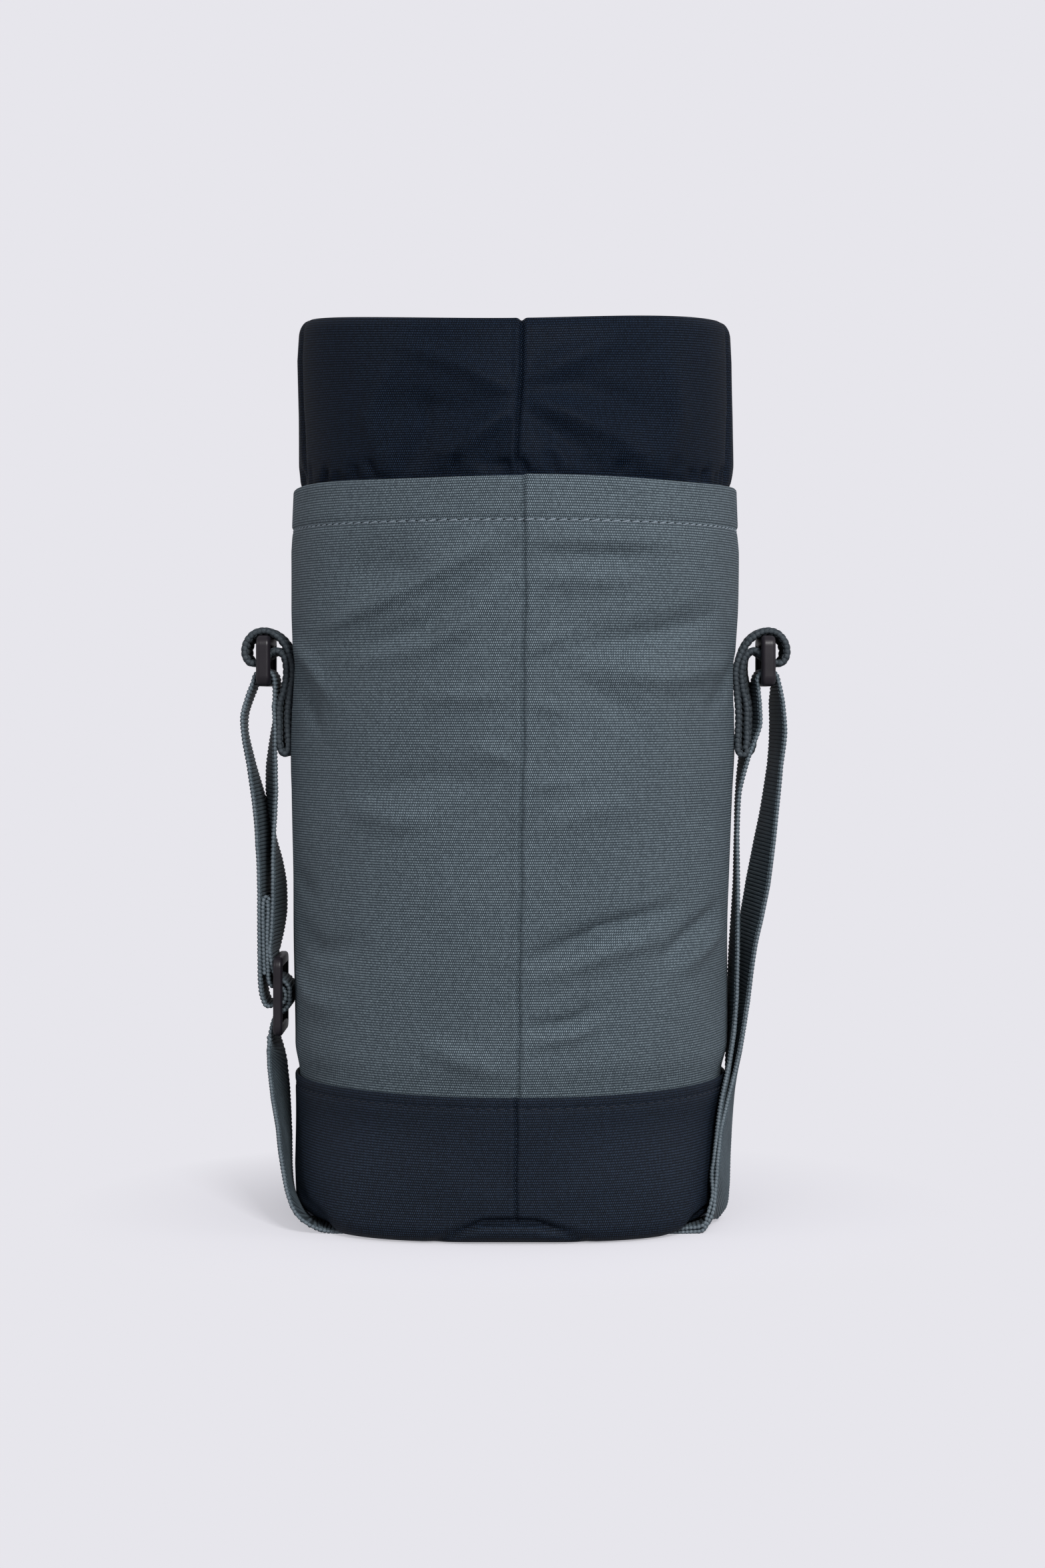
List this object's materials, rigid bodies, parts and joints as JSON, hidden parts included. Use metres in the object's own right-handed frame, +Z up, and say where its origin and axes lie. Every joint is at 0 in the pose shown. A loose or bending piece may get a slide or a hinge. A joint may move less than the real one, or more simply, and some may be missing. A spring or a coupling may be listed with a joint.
{
  "type": "rope storage bag",
  "caption": "Upright round soft bag for a climbing or rigging rope, with a throat collar, a darker base and a carrying strap hung from plastic rings in side tabs.",
  "frame": {"origin": "on the floor under the middle of the bag", "axes": "+Z up along the bag's axis, +X towards the right-hand ring, the upright seam and the strap's crossing on the -Y side"},
  "size_m": [0.2128, 0.175, 0.345],
  "materials": {
    "shell_fabric": "grey-green heavy plain weave",
    "dark_fabric": "navy plain weave with a light sheen",
    "stiffener_sheet": "plain dark polyethylene sheet",
    "binding_tape": "dark ribbed tape",
    "tab_webbing": "thick grey-green tubular webbing",
    "strap_webbing": "grey-green cross-ribbed webbing with chain edges",
    "ring_plastic": "satin black moulded acetal"
  },
  "bodies": {
    "bag": {"shell_panel": "shell_fabric", "base_wall": "dark_fabric", "base_disc": "dark_fabric", "base_stiffener": "stiffener_sheet", "base_liner": "dark_fabric", "bottom_seam_binding": "binding_tape", "shell_seam_binding": "binding_tape", "rope_tie_in_loop": "binding_tape", "left_tab": "tab_webbing", "right_tab": "tab_webbing"},
    "collar": {"collar_panel": "dark_fabric"},
    "carry_strap": {"strap_left_outer_leg": "strap_webbing", "strap_left_inner_leg": "strap_webbing", "strap_left_lower_leg": "strap_webbing", "strap_under_run": "strap_webbing", "strap_end_ply": "strap_webbing", "strap_right_loop": "strap_webbing", "strap_right_inner_leg": "strap_webbing", "strap_right_outer_leg": "strap_webbing"},
    "left_ring": {"left_ring": "ring_plastic"},
    "right_ring": {"right_ring": "ring_plastic"},
    "strap_slider": {"slider": "ring_plastic", "strap_slider_bight": "strap_webbing", "strap_sewn_end": "strap_webbing"}
  },
  "joints": [
    {"name": "strap_swing", "type": "hinge", "parent": "bag", "child": "carry_strap", "pos_m": [0, 0, 0.22275], "axis": [-1, 0, 0], "range_deg": [0, 180], "deforming": ["left_tab", "right_tab", "strap_under_run", "strap_end_ply", "strap_right_loop"]},
    {"name": "collar_tuck", "type": "slide", "parent": "bag", "child": "collar", "axis": [0, 0, -1], "range_m": [0, 0.06]},
    {"name": "left_ring_rock", "type": "hinge", "parent": "carry_strap", "child": "left_ring", "pos_m": [-0.0985, 0, 0.22275], "axis": [0, 1, 0], "range_deg": [-8, 8]},
    {"name": "right_ring_rock", "type": "hinge", "parent": "carry_strap", "child": "right_ring", "pos_m": [0.0985, 0, 0.22275], "axis": [0, 1, 0], "range_deg": [-8, 8]},
    {"name": "slider_slide", "type": "slide", "parent": "carry_strap", "child": "strap_slider", "axis": [0, 0, 1], "range_m": [-0.01, 0.05], "deforming": ["strap_left_outer_leg", "strap_left_inner_leg", "strap_left_lower_leg"]}
  ]
}
